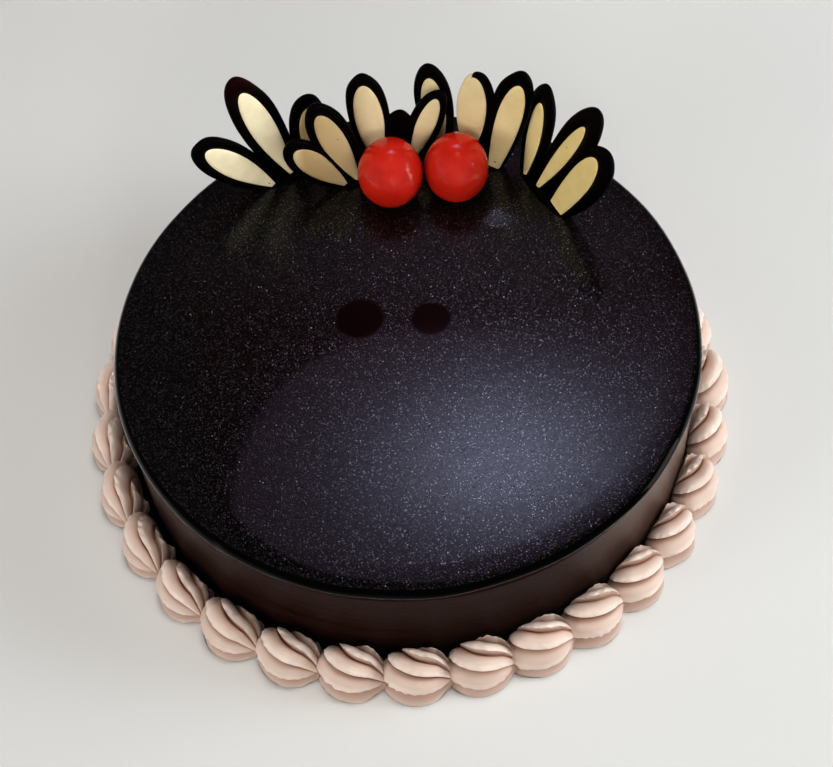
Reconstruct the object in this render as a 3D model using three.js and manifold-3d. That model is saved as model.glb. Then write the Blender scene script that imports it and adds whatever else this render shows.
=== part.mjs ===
// A chocolate truffle cake: a dark glaze over a brown-sided cake, a piped cream border round its foot,
// and at the back two cherries in front of chocolate petals with white-chocolate fills.
// Millimetres, +Z up. The origin is the centre of the underside, and the garnish stands on the +Y side.
import * as THREE from 'three';
import { mergeVertices } from 'three/addons/utils/BufferGeometryUtils.js';
import Module from 'manifold-3d';

const wasm = await Module();
wasm.setup();

// Clearance between neighbouring pieces, and the distance within which two points are one corner
const GAP = 0.3;
const WELD_DISTANCE = 1e-4;

// Cake and glaze
const SIDE_RADIUS = 99.4;
const LIP_RADIUS = 100.2;
const TOP_HEIGHT = 50;
const GLAZE_DEPTH = 3.6;
const LIP_ROUND = 3.2;
const LIP_UNDERCUT = 0.6;
const LIP_STEPS = 4;
const ROUND_STEPS = 72;
const CUTTING_BLOCK = 4 * LIP_RADIUS;

// Piped border: every shell starts against the cake, swings round a pivot at the cake's side and ends in a tail.
// The ring of shells was piped a little off centre, by BORDER_SHIFT along x.
const SHELL_COUNT = 31;
const SHELL_RING_RADIUS = 107;
const SHELL_FIRST_ANGLE = -106.3;
const SHELL_SPACING_SWING = 1.3;
const SHELL_SPACING_WAVES = 2;
const SHELL_STRETCH = new THREE.Vector3(1.02, 0.87, 1.08);
const BORDER_SHIFT = -1.5;
const SHELL_RADIUS = 10.1;
const SHELL_TALLNESS = 1.36;
const SHELL_FLARE = 0.3;
const SHELL_PIVOT = new THREE.Vector2(8, 8);
const SHELL_SWING_RADII = [11, 8.5];
const SHELL_SWING_ANGLE = 90;
const SHELL_TAIL = new THREE.Vector2(13, -1.2);
const SHELL_TAIL_RADIUS = 1.2;
const SHELL_TAIL_START = 9;
const SHELL_TAIL_HEIGHT = 3.6;
const SHELL_HEAD_HEIGHT = 4.2;
const SHELL_HEAD_LENGTH = 7;
const SHELL_RIDGES = 9;
const SHELL_RIDGE_TURN = 12;
const SHELL_RIDGE_TWIST = 10;
const SHELL_RIDGE_DEPTH = 0.32;
const SHELL_HOLLOW_PLACE = 0.86;
const SHELL_LIP_DROOP = 4;
const SHELL_RINGS = 5;
const SHELL_SIZE_SPREAD = 0.04;
const LARGE_SHELL = 9;
const LARGE_SHELL_SIZE = 1.12;

// Cherries: long axis leaning back
const CHERRY_LEAN = 40;
const CHERRY_STEPS = 22;
const CHERRIES = [
  { name: 'cherry_left', centre: [-0.4, 59.4], radius: 11.6, halfLength: 12.6 },
  { name: 'cherry_right', centre: [23, 59.4], radius: 11.4, halfLength: 12.4 },
];

// Petal fans: each is a flat plate that stands on the glaze at base, turned by yaw and leant back.
// In the plate's plane a petal rises from its foot, turned to the right by turn, and its white fill runs
// through the plate from fillFoot to tipBorder short of the tip.
const PLATE_THICKNESS = 2.6;
const PETAL_WIDEST = 0.62;
const PETAL_FOOT_SHARE = 0.5;
const PETAL_FLANK_STEPS = 2;
const PETAL_TIP_STEPS = 4;
const FILL_FOOT_SHARE = 0.15;
const DAB_MARGIN = 3;
const DAB_HALF_WIDTH = 3.2;
const DAB_HEIGHT = 2.2;
const DAB_STEPS_ROUND = 8;
const DAB_STEPS_HIGH = 5;
const FANS = [
  {
    name: 'left', base: [-38, 71], yaw: 25, lean: 8,
    petals: [
      { foot: -5, turn: -38, length: 40, width: 15.7, fillFoot: 0, tipBorder: 5, fillWidth: 9.3 },
      { foot: 2.8, turn: -15, length: 52.5, width: 16, fillFoot: 2.5, tipBorder: 6, fillWidth: 9.3 },
      { foot: 10.8, turn: 4.5, length: 32.3, width: 14.6, fillFoot: 3.4, tipBorder: 5, fillWidth: 7.8 },
    ],
  },
  {
    name: 'front_left', base: [-15, 66], yaw: 20, lean: 8,
    petals: [
      { foot: -1, turn: -35.5, length: 33.3, width: 13.8, fillFoot: 1.3, tipBorder: 4, fillWidth: 8.9 },
      { foot: 3.9, turn: -17.3, length: 41.7, width: 14.6, fillFoot: 1.5, tipBorder: 4.4, fillWidth: 8.8,
        fillShift: -0.5 },
    ],
  },
  {
    name: 'middle', base: [4, 71], yaw: -4, lean: 6,
    petals: [
      { foot: -8.2, turn: -5, length: 44.2, width: 15, fillFoot: 2.5, tipBorder: 4, fillWidth: 10.2 },
      { foot: -0.9, turn: 3, length: 27.2, width: 12.5 },
      { foot: 1.6, turn: 20, length: 38.5, width: 12.2, fillFoot: 3.7, tipBorder: 3.5, fillWidth: 7 },
    ],
  },
  {
    name: 'back_right', base: [26.6, 71.8], yaw: -20, lean: 4,
    petals: [
      { foot: -8.8, turn: -5.3, length: 42.8, width: 14.2, fillFoot: 3.3, tipBorder: 4.5, fillWidth: 8.8 },
      { foot: 3.2, turn: 3, length: 43.3, width: 13.2, fillFoot: 3.5, tipBorder: 1.4, fillWidth: 10.8,
        fillShift: -1.9 },
      { foot: 10.5, turn: 12, length: 48, width: 14.2, fillFoot: 0, tipBorder: 5.4, fillWidth: 9.1,
        fillShift: 0.4, fillFootShare: 0.45 },
    ],
  },
  {
    name: 'right', base: [52.3, 54.6], yaw: -62, lean: 10,
    petals: [
      { foot: -9.8, turn: 1.4, length: 42.8, width: 14.5, fillFoot: -0.3, tipBorder: 7.7, fillWidth: 7.5 },
      { foot: -2.1, turn: 21.4, length: 56.8, width: 14.8, fillFoot: -1.4, tipBorder: 10.9, fillWidth: 6.1,
        fillShift: -0.4 },
      { foot: 10.3, turn: 21.6, length: 44.5, width: 16.8, fillFoot: -4, tipBorder: 6.5, fillWidth: 9.8,
        fillShift: -1.1, fillFootShare: 0.6 },
    ],
  },
];

const COLOURS = {
  cake: { color: 0x3a251d, roughness: 0.55 },
  glaze: { color: 0x120d10, roughness: 0.12 },
  cream: { color: 0xd8b8a2, roughness: 0.6 },
  cherry: { color: 0xc8200f, roughness: 0.15 },
  darkChocolate: { color: 0x150b08, roughness: 0.35 },
  whiteChocolate: { color: 0xe6d3a3, roughness: 0.5 },
};

const radians = THREE.MathUtils.degToRad;
const cake = new THREE.Group();

function addPiece(name, geometry, look, placement = new THREE.Matrix4()) {
  const material = new THREE.MeshStandardMaterial({ ...look, metalness: 0 });
  const mesh = new THREE.Mesh(geometry, material);
  mesh.name = name;
  mesh.applyMatrix4(placement);
  cake.add(mesh);
}

// Solids for joining and cutting
function solidOf(geometry) {
  const bare = geometry.clone();
  bare.deleteAttribute('normal');
  bare.deleteAttribute('uv');
  const welded = mergeVertices(bare, WELD_DISTANCE);
  return new wasm.Manifold(new wasm.Mesh({
    numProp: 3,
    vertProperties: new Float32Array(welded.attributes.position.array),
    triVerts: new Uint32Array(welded.index.array),
  }));
}

function geometryOf(solid) {
  const mesh = solid.getMesh();
  const geometry = new THREE.BufferGeometry();
  geometry.setAttribute('position', new THREE.BufferAttribute(mesh.vertProperties, 3));
  geometry.setIndex(new THREE.BufferAttribute(mesh.triVerts, 1));
  geometry.computeVertexNormals();
  return geometry;
}

function blockBelow(height) {
  const block = new THREE.BoxGeometry(CUTTING_BLOCK, CUTTING_BLOCK, CUTTING_BLOCK);
  return block.translate(0, 0, height - CUTTING_BLOCK / 2);
}

// Turned pieces: a profile of radius and height, from the axis to the axis
function turned(profile, steps) {
  return new THREE.LatheGeometry(profile, steps).rotateX(Math.PI / 2);
}

function cakeProfile() {
  const height = TOP_HEIGHT - GLAZE_DEPTH - GAP;
  return [
    new THREE.Vector2(0, 0),
    new THREE.Vector2(SIDE_RADIUS, 0),
    new THREE.Vector2(SIDE_RADIUS, height),
    new THREE.Vector2(0, height),
  ];
}

function glazeProfile() {
  const underside = TOP_HEIGHT - GLAZE_DEPTH;
  const profile = [
    new THREE.Vector2(0, underside),
    new THREE.Vector2(LIP_RADIUS - LIP_UNDERCUT, underside),
  ];
  for (let step = 0; step <= LIP_STEPS; step += 1) {
    const angle = (Math.PI / 2) * (step / LIP_STEPS);
    profile.push(new THREE.Vector2(
      LIP_RADIUS - LIP_ROUND * (1 - Math.cos(angle)),
      TOP_HEIGHT - LIP_ROUND * (1 - Math.sin(angle)),
    ));
  }
  profile.push(new THREE.Vector2(0, TOP_HEIGHT));
  return profile;
}

// A closed skin over rings of points between two poles
function skinOver(startPole, rings, endPole) {
  const count = rings[0].length;
  const points = [startPole, ...rings.flat(), endPole];
  const end = points.length - 1;
  const triangles = [];
  for (let i = 0; i < count; i += 1) {
    const next = (i + 1) % count;
    triangles.push(0, 1 + i, 1 + next);
    for (let ring = 0; ring < rings.length - 1; ring += 1) {
      const near = 1 + ring * count;
      const far = near + count;
      triangles.push(near + i, far + i, near + next, near + next, far + i, far + next);
    }
    const last = 1 + (rings.length - 1) * count;
    triangles.push(end, last + next, last + i);
  }
  const geometry = new THREE.BufferGeometry().setFromPoints(points);
  geometry.setIndex(triangles);
  return geometry;
}

// The line a shell is piped along: a swing round the pivot, then straight to the tail.
// Local x runs along the border, y towards the cake. travel is the distance from the head.
const SWING_LENGTH = ((SHELL_SWING_RADII[0] + SHELL_SWING_RADII[1]) / 2) * radians(SHELL_SWING_ANGLE);
const SWING_STOP = new THREE.Vector2(SHELL_PIVOT.x, SHELL_PIVOT.y - SHELL_SWING_RADII[1]);
const SHELL_LENGTH = SWING_LENGTH + SWING_STOP.distanceTo(SHELL_TAIL);

function shellLine(travel) {
  const share = Math.min(travel / SWING_LENGTH, 1);
  const swing = radians(SHELL_SWING_ANGLE) * share;
  const outward = new THREE.Vector3(-Math.cos(swing), -Math.sin(swing), 0);
  const point = new THREE.Vector3(SHELL_PIVOT.x, SHELL_PIVOT.y, 0);
  point.addScaledVector(outward, THREE.MathUtils.lerp(...SHELL_SWING_RADII, share));
  const past = Math.max(travel - SWING_LENGTH, 0) / (SHELL_LENGTH - SWING_LENGTH);
  point.x += past * (SHELL_TAIL.x - SWING_STOP.x);
  point.y += past * (SHELL_TAIL.y - SWING_STOP.y);
  point.z = THREE.MathUtils.lerp(SHELL_HEAD_HEIGHT, SHELL_TAIL_HEIGHT, travel / SHELL_LENGTH);
  return { point, outward };
}

// A round head, then a taper to the tail that is slim on the outer side and blunt on the inner side
function shellReach(travel, inner) {
  const head = Math.sqrt(1 - Math.max(1 - travel / SHELL_HEAD_LENGTH, 0) ** 2);
  const along = Math.max((travel - SHELL_TAIL_START) / (SHELL_LENGTH - SHELL_TAIL_START), 0);
  const slim = Math.cos((Math.PI / 2) * along);
  const blunt = Math.sqrt(1 - along ** 4);
  const taper = THREE.MathUtils.lerp(slim, blunt, inner);
  return Math.max(SHELL_RADIUS * head * taper, SHELL_TAIL_RADIUS * along);
}

// One corner of the ridged section round the line, as a share of its reach at an angle
function shellCorner(travel, angle, share, grow) {
  const { point, outward } = shellLine(travel);
  const reach = shellReach(travel, (1 - Math.cos(angle)) / 2) * share + grow;
  const flare = 1 + SHELL_FLARE * Math.max(-Math.sin(angle), 0);
  point.addScaledVector(outward, reach * flare * Math.cos(angle));
  point.z += reach * SHELL_TALLNESS * Math.sin(angle);
  return point.multiply(SHELL_STRETCH);
}

// A star nozzle's sharp lips round the line, each drooping over the hollow below it
function shellGeometry(size, grow) {
  const rings = [];
  for (let ring = 0; ring < SHELL_RINGS; ring += 1) {
    const turn = (Math.PI * (ring + 0.5)) / SHELL_RINGS;
    const travel = (SHELL_LENGTH * (1 - Math.cos(turn))) / 2;
    const first = SHELL_RIDGE_TURN + (SHELL_RIDGE_TWIST * travel) / SHELL_LENGTH;
    const points = [];
    for (let ridge = 0; ridge < SHELL_RIDGES; ridge += 1) {
      const lip = first + (360 / SHELL_RIDGES) * ridge - SHELL_LIP_DROOP;
      const hollow = first + (360 / SHELL_RIDGES) * (ridge + SHELL_HOLLOW_PLACE);
      points.push(shellCorner(travel, radians(lip), 1, grow));
      points.push(shellCorner(travel, radians(hollow), 1 - SHELL_RIDGE_DEPTH, grow));
    }
    rings.push(points);
  }
  const head = shellLine(0).point.multiply(SHELL_STRETCH);
  head.y += grow;
  const tail = shellLine(SHELL_LENGTH).point.multiply(SHELL_STRETCH);
  tail.x += grow;
  return skinOver(head, rings, tail).scale(size, size, size);
}

// Small repeatable unevenness between minus one and one
function unevenness(index) {
  return 2 * THREE.MathUtils.seededRandom(index + 1) - 1;
}

function placedShell(index, grow) {
  const wrapped = index % SHELL_COUNT;
  const even = SHELL_FIRST_ANGLE + (360 / SHELL_COUNT) * wrapped;
  const swing = Math.cos(SHELL_SPACING_WAVES * radians(even - SHELL_FIRST_ANGLE));
  const angle = radians(even + SHELL_SPACING_SWING * swing);
  const usual = 1 + SHELL_SIZE_SPREAD * unevenness(wrapped);
  const size = wrapped === LARGE_SHELL ? LARGE_SHELL_SIZE : usual;
  const geometry = shellGeometry(size, grow);
  geometry.rotateZ(angle + Math.PI / 2);
  const placeX = BORDER_SHIFT + SHELL_RING_RADIUS * Math.cos(angle);
  geometry.translate(placeX, SHELL_RING_RADIUS * Math.sin(angle), 0);
  return solidOf(geometry);
}

function addShells() {
  const floor = solidOf(blockBelow(0));
  const wallRadius = SIDE_RADIUS + GAP;
  const drum = new THREE.CylinderGeometry(wallRadius, wallRadius, TOP_HEIGHT, ROUND_STEPS);
  const wall = solidOf(drum.rotateX(Math.PI / 2));
  for (let index = 0; index < SHELL_COUNT; index += 1) {
    const next = placedShell(index + 1, GAP);
    const shell = placedShell(index, 0).subtract(floor).subtract(wall).subtract(next);
    addPiece(`cream_shell_${String(index + 1).padStart(2, '0')}`, geometryOf(shell), COLOURS.cream);
  }
}

function addCherries() {
  for (const { name, centre, radius, halfLength } of CHERRIES) {
    const lean = radians(CHERRY_LEAN);
    const halfHeight = Math.hypot(halfLength * Math.cos(lean), radius * Math.sin(lean));
    const geometry = new THREE.SphereGeometry(1, CHERRY_STEPS, CHERRY_STEPS / 2);
    geometry.scale(radius, halfLength, radius).rotateX(Math.PI / 2 - lean);
    geometry.translate(centre[0], centre[1], TOP_HEIGHT + GAP + halfHeight);
    addPiece(name, geometry, COLOURS.cherry);
  }
}

// The outline of a petal or its fill: from start it widens in a sine, then closes in an elliptical tip
function petalOutline({ foot, turn }, { start, end, width, footShare, shift, inset }) {
  const halves = [];
  for (let step = 0; step < PETAL_FLANK_STEPS; step += 1) {
    const along = step / PETAL_FLANK_STEPS;
    halves.push([PETAL_WIDEST * along, footShare + (1 - footShare) * Math.sin((Math.PI / 2) * along)]);
  }
  for (let step = 0; step < PETAL_TIP_STEPS; step += 1) {
    const angle = (Math.PI / 2) * (step / PETAL_TIP_STEPS);
    halves.push([PETAL_WIDEST + (1 - PETAL_WIDEST) * Math.sin(angle), Math.cos(angle)]);
  }
  const right = halves.map(([along, share]) => new THREE.Vector2(
    (width / 2) * share - inset,
    start + inset + (end - start - 2 * inset) * along,
  ));
  const left = right.map(({ x, y }) => new THREE.Vector2(-x, y)).reverse();
  const tip = new THREE.Vector2(0, end - inset);
  const origin = new THREE.Vector2();
  return [...right, tip, ...left].map((point) => {
    point.x += shift;
    point.rotateAround(origin, -radians(turn));
    point.x += foot;
    return point;
  });
}

// A fan is made in its own frame: x across, y up the plate and z out of the front face, which is at z = 0
function fanPlacement({ base, yaw, lean }) {
  return new THREE.Matrix4().makeTranslation(base[0], base[1], TOP_HEIGHT)
    .multiply(new THREE.Matrix4().makeRotationZ(radians(yaw)))
    .multiply(new THREE.Matrix4().makeRotationX(Math.PI / 2 - radians(lean)));
}

function fanPlate(outline, margin) {
  const depth = PLATE_THICKNESS + 2 * margin;
  const plate = new THREE.ExtrudeGeometry(new THREE.Shape(outline), { depth, bevelEnabled: false });
  return solidOf(plate.translate(0, 0, margin - depth));
}

// The low dab of chocolate that each fan is set in, a little longer than its row of feet
function fanDab(petals) {
  const feet = petals.map((petal) => petal.foot);
  const first = Math.min(...feet) - DAB_MARGIN;
  const last = Math.max(...feet) + DAB_MARGIN;
  const dab = new THREE.SphereGeometry(1, DAB_STEPS_ROUND, DAB_STEPS_HIGH);
  dab.scale((last - first) / 2, DAB_HEIGHT, DAB_HALF_WIDTH);
  return solidOf(dab.translate((first + last) / 2, 0, -PLATE_THICKNESS / 2));
}

function frameOutline(petal) {
  return petalOutline(petal, {
    start: 0, end: petal.length, width: petal.width, footShare: PETAL_FOOT_SHARE, shift: 0, inset: 0,
  });
}

function fillOutline(petal, inset) {
  return petalOutline(petal, {
    start: petal.fillFoot,
    end: petal.length - petal.tipBorder,
    width: petal.fillWidth,
    footShare: petal.fillFootShare ?? FILL_FOOT_SHARE,
    shift: petal.fillShift ?? 0,
    inset,
  });
}

function addFans() {
  for (const fan of FANS) {
    const placement = fanPlacement(fan);
    const glaze = solidOf(blockBelow(TOP_HEIGHT + GAP).applyMatrix4(placement.clone().invert()));
    let frame = fanDab(fan.petals);
    for (const petal of fan.petals) {
      frame = frame.add(fanPlate(frameOutline(petal), 0));
    }
    fan.petals.filter((petal) => petal.fillWidth).forEach((petal, index) => {
      frame = frame.subtract(fanPlate(fillOutline(petal, 0), GAP));
      const fill = geometryOf(fanPlate(fillOutline(petal, GAP), 0).subtract(glaze));
      addPiece(`petal_fill_${fan.name}_${index + 1}`, fill, COLOURS.whiteChocolate, placement);
    });
    addPiece(`petal_fan_${fan.name}`, geometryOf(frame.subtract(glaze)), COLOURS.darkChocolate, placement);
  }
}

addPiece('cake_body', turned(cakeProfile(), ROUND_STEPS), COLOURS.cake);
addPiece('truffle_glaze', turned(glazeProfile(), ROUND_STEPS), COLOURS.glaze);
addShells();
addCherries();
addFans();

export default cake;
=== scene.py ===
"""A chocolate truffle cake: glazed top, brown side, piped cream border, two cherries and chocolate petals.

Lengths are millimetres. Only finished meshes, and the ranges and bumps of the finishes, are in metres. +Z is
up, the garnish stands on the +Y side and the camera looks from -Y. Colours are linear red, green and blue.
"""
import math

import bpy
import numpy as np
from mathutils import Matrix, Vector


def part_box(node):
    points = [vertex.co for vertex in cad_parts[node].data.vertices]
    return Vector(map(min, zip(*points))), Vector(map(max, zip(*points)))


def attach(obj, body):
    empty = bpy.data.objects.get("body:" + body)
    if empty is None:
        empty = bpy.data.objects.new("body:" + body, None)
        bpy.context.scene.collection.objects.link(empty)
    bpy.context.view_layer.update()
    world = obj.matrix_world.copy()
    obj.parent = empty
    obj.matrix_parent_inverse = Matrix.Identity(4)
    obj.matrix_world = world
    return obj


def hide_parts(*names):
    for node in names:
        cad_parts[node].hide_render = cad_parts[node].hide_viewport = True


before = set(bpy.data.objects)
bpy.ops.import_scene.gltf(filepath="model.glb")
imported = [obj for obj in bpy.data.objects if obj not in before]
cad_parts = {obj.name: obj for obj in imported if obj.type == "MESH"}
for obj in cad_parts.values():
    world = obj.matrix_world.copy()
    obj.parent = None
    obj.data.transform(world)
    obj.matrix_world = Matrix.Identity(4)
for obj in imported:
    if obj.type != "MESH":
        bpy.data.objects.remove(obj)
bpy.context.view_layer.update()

MM = 0.001
BODY = "root"

# Sizes read from the frame
LIP_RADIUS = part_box("truffle_glaze")[1].x / MM
GLAZE_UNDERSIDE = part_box("truffle_glaze")[0].z / MM
TOP_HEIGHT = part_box("truffle_glaze")[1].z / MM
SIDE_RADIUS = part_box("cake_body")[1].x / MM
SIDE_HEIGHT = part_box("cake_body")[1].z / MM

# Room kept between neighbouring pieces, and the least width of a petal's rim
GAP = 0.3

# Unevenness: the plane waves that add up to dents, and the seeds of each kind of piece
DENT_WAVES = 7
HEM_SEED = 3
LIP_SEED = 4
SIDE_SEED = 11
SIDE_DRIFT_SEED = 12
CHERRY_SEED = 40
PETAL_SEED = 60
FAN_SEED_STEP = 10
DAB_SEED_STEP = 9
SHELL_SEED = 100
RAGGED_SEED_STEP = 50

# Glaze: a rounded lip that waves a little, with one drip
LIP_ROUND = 3.2
LIP_UNDERCUT = 0.6
LIP_STEPS = 10
LIP_WAVE = 0.22
LIP_HEM_WAVE = 0.45
LIP_HEM_DROP = 0.3
LIP_WAVE_ORDERS = 24
DRIP_ANGLE = -131.2
DRIP_LENGTH = 2.4
DRIP_WIDTH = 1.1
ROUND_STEPS = 480
TOP_RINGS = 12
UNDERSIDE_RINGS = np.array([0.5, 0.9, 1.0])

# Cake side: a straight wall that wobbles a little, with a thin foot
SIDE_RINGS = 36
SIDE_CAP_RING = 0.5
SIDE_WAVE = 0.12
SIDE_WAVE_ORDERS = 9
FOOT_REACH = 6.0
FOOT_HEIGHT = 1.6

# Piped border: every shell starts against the cake, swings round a pivot at the cake's side and ends in a
# tail. Its ridges all meet at the tail. The next shell's head covers that.
SHELL_COUNT = 31
SHELL_RING_RADIUS = 107.0
SHELL_FIRST_ANGLE = -106.3
SHELL_SPACING_SWING = 1.3
SHELL_SPACING_WAVES = 2
SHELL_STRETCH = np.array([1.02, 0.87, 1.08])
BORDER_SHIFT = -1.5
SHELL_RADIUS = 10.1
SHELL_TALLNESS = 1.36
SHELL_PIVOT = (8.0, 8.0, 0.0)
SHELL_SWING_RADII = (11.0, 8.5)
SHELL_SWING_ANGLE = 90
SHELL_TAIL = (13.0, -1.2)
SHELL_TAIL_RADIUS = 1.2
SHELL_HEAD_HEIGHT = 4.2
SHELL_TAIL_HEIGHT = 3.6
SHELL_HEAD_LENGTH = 7.0
SHELL_TAIL_START = 9.0
SHELL_FLARE = 0.3
SHELL_RIDGES = 9
SHELL_RIDGE_TURN = 12
SHELL_RIDGE_TWIST = 10
SHELL_RIDGE_DEPTH = 0.32
SHELL_HOLLOW_PLACE = 0.86
SHELL_BAND_CURVE = 1.5
SHELL_LIP_DROOP = 8
SHELL_LIP_WIDTH = 0.07
SHELL_POLE_HOLLOW = 0.5
SHELL_ROWS = 64
SHELL_RIDGE_STEPS = 20
SHELL_TURN_SPREAD = 6
SHELL_DEPTH_SPREAD = 0.15
SHELL_BUMP = 0.012
SHELL_BUMP_SIZE = 10.0
SHELL_RAGGED = 0.02
SHELL_RAGGED_SIZE = 2.4
LARGE_SHELL = "cream_shell_10"
LARGE_SHELL_SIZE = 1.12

# Cherries, as radius and half length: long axis leaning back, skin a little uneven
CHERRY_LEAN = 40
CHERRIES = {"cherry_left": (11.6, 12.6), "cherry_right": (11.4, 12.4)}
CHERRY_ROWS = 64
CHERRY_COLUMNS = 96
CHERRY_DENT = 0.008
CHERRY_DENT_SIZE = 1.4

# Petal fans: a plate that stands on the glaze at base, turned by yaw and leant back. In its plane a petal
# rises from its foot, turned to the right by turn. Its white fill starts at fill_foot and ends short of the
# tip. A dab is the low mound that a fan's petals stand in.
PLATE_THICKNESS = 2.6
PETAL_WIDEST = 0.62
PETAL_FOOT_SHARE = 0.5
FILL_FOOT_SHARE = 0.15
PETAL_STEPS = 40
EDGE_STEPS = 8
EDGE_LIMIT = 0.45
FRAME_CROWN = 0.12
FRAME_CROWN_PLACE = 0.5
FRAME_WAVE = 0.2
FRAME_WAVE_ORDERS = 6
FILL_PROUD = 0.12
FILL_DOME = 0.2
FILL_DOME_STEPS = (1, 0.75, 0.5, 0.25)
FILL_EDGE = 0.3
SPINE_MARGIN = 0.12
SHORTEST_WAY = 1e-6
SAME_POINT_DIGITS = 5
DAB_MARGIN = 3
DAB_HALF_WIDTH = 3.2
DAB_HEIGHT = 2.2
DAB_DENT = 0.06
DAB_DENT_SIZE = 1.1
DAB_ROWS = 20
DAB_COLUMNS = 40


def petal(foot, turn, length, width, fill_foot=0.0, tip_border=0.0, fill_width=0.0, fill_shift=0.0,
          fill_foot_share=FILL_FOOT_SHARE):
    """One petal's sizes by name. A fill_width of nothing means that the petal has no fill."""
    return dict(foot=foot, turn=turn, length=length, width=width, fill_foot=fill_foot, tip_border=tip_border,
                fill_width=fill_width, fill_shift=fill_shift, fill_foot_share=fill_foot_share)


FANS = {
    "left": dict(base=(-38, 71), yaw=25, lean=8, petals=[
        petal(-5, -38, 40, 15.7, 0, 5, 9.3),
        petal(2.8, -15, 52.5, 16, 2.5, 6, 9.3),
        petal(10.8, 4.5, 32.3, 14.6, 3.4, 5, 7.8),
    ]),
    "front_left": dict(base=(-15, 66), yaw=20, lean=8, petals=[
        petal(-1, -35.5, 33.3, 13.8, 1.3, 4, 8.9),
        petal(3.9, -17.3, 41.7, 14.6, 1.5, 4.4, 8.8, fill_shift=-0.5),
    ]),
    "middle": dict(base=(4, 71), yaw=-4, lean=6, petals=[
        petal(-8.2, -5, 44.2, 15, 2.5, 4, 10.2),
        petal(-0.9, 3, 27.2, 12.5),
        petal(1.6, 20, 38.5, 12.2, 3.7, 3.5, 7),
    ]),
    "back_right": dict(base=(26.6, 71.8), yaw=-20, lean=4, petals=[
        petal(-8.8, -5.3, 42.8, 14.2, 3.3, 4.5, 8.8),
        petal(3.2, 3, 43.3, 13.2, 3.5, 1.4, 10.8, fill_shift=-1.9),
        petal(10.5, 12, 48, 14.2, 0, 5.4, 9.1, fill_shift=0.4, fill_foot_share=0.45),
    ]),
    "right": dict(base=(52.3, 54.6), yaw=-62, lean=10, petals=[
        petal(-9.8, 1.4, 42.8, 14.5, -0.3, 7.7, 7.5),
        petal(-2.1, 21.4, 56.8, 14.8, -1.4, 10.9, 6.1, fill_shift=-0.4),
        petal(10.3, 21.6, 44.5, 16.8, -4, 6.5, 9.8, fill_shift=-1.1, fill_foot_share=0.6),
    ]),
}

# Glaze finish. A range holds the two ends of a smooth step: of a value, or of a place in metres.
GLAZE_BLACK = (0.0012, 0.0006, 0.0006)
GLAZE_ROUGHNESS = 0.045
GLAZE_WAVE = 0.05
LEVEL_RANGE = (0.9, 0.995)
LIP_DULLNESS = 0.85
BACK_RANGE = (-0.01, 0.04)
BACK_ROUGHNESS = 0.2
# Flakes: cells for each metre, the share of cells that hold one, and how it shines and tilts
FLAKE_SCALE = 3200
FLAKE_SHARE = 0.5
FLAKE_EDGE_RANGE = (0.6, 0.35)
FLAKE_DIM = (0.014, 0.014, 0.014)
FLAKE_BRIGHT = (0.22, 0.215, 0.215)
FLAKE_SHINE_POWER = 4.0
FLAKE_TILT = 0.07
FLAKE_TILT_SPREAD = 0.26
FLAKE_TILT_POWER = 3.0
FLAKE_MIDDLE_DRAW = (0.5, 0.5, 0.5)
FLAKE_ROUGHNESS = 0.1
# Syrup spots on the glaze, as place and radius
SYRUP_SPOTS = [((-15.3, 5.9), 9.5), ((8.9, 3.3), 7.8)]
SYRUP_CORE = 0.75
SYRUP_THICKNESS = 0.01
SYRUP_DULLNESS = 0.75
SYRUP_BLACK = (0.005, 0.0012, 0.0010)
# Swells and lumps of the glaze, as place, radius and height
GLAZE_SWELLS = [
    ((37.5, 52.4), 13.0, 0.7),
    ((-28.5, 59.8), 11.0, 0.4),
    ((15.5, -50.7), 2.2, 0.03),
    ((5.1, -40.0), 0.9, 0.015),
]

# Side finish: brown with level streaks, painted light at the right, and a satin coat at the right and left
STREAK_STRETCH = (14, 14, 520)
SIDE_BROWN = (0.007, 0.0019, 0.0014)
SIDE_STREAK = (0.017, 0.0052, 0.0038)
SIDE_CLOUD = (0.010, 0.0030, 0.0022)
# Painted light: a lighter, rosier brown at the right of the side, where the light falls
SIDE_PAINTED_LIGHT = (0.044, 0.023, 0.0175)
SIDE_PAINTED_LIGHT_RANGE = (0.045, 0.09)
# Near black at the bottom: the glaze foot's own colour, and painted shade on the wall above it by the shells
SIDE_FOOT_AND_SHADE = (0.002, 0.001, 0.001)
SIDE_FOOT_AND_SHADE_RANGE = (0.0, 0.008)
SATIN_RIGHT = 0.9
SATIN_RIGHT_RANGE = (0.035, 0.08)
SATIN_LEFT = 0.35
SATIN_LEFT_RANGE = (-0.05, -0.085)

# Cream tones from the lips of the ridges down into their hollows, a painted highlight on the lips and painted
# shade deep in the hollows; the tone of its darker patches; and painted shade on its foot, which is strongest
# just under the lowest lip
CREAM_HIGHLIGHT_AND_SHADE_TONES = [
    (0.0, (0.74, 0.605, 0.525)),
    (0.07, (0.635, 0.48, 0.40)),
    (0.42, (0.565, 0.40, 0.325)),
    (0.66, (0.44, 0.255, 0.185)),
    (0.86, (0.29, 0.13, 0.08)),
    (1.0, (0.16, 0.06, 0.035)),
]
CREAM_PATCH = (0.46, 0.31, 0.25)
CREAM_PATCH_SHARE = 0.25
CREAM_FOOT_SHADE = (0.34, 0.15, 0.09)
CREAM_FOOT_SHADE_TOP_RANGE = (0.0065, 0.005)
CREAM_FOOT_SHADE_RISE_RANGE = (0.0005, 0.0055)
CREAM_FOOT_SHADE_AT_FLOOR = 0.15
CREAM_FOOT_SHADE_RISE = 0.5
CREAM_PIT_SCALE = 420
CREAM_PIT_RANGE = (0.22, 0.08)
CREAM_PIT_RARITY = 0.6

# Cherry reds
CHERRY_DEEP = (0.38, 0.008, 0.003)
CHERRY_BRIGHT = (0.46, 0.013, 0.005)

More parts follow.
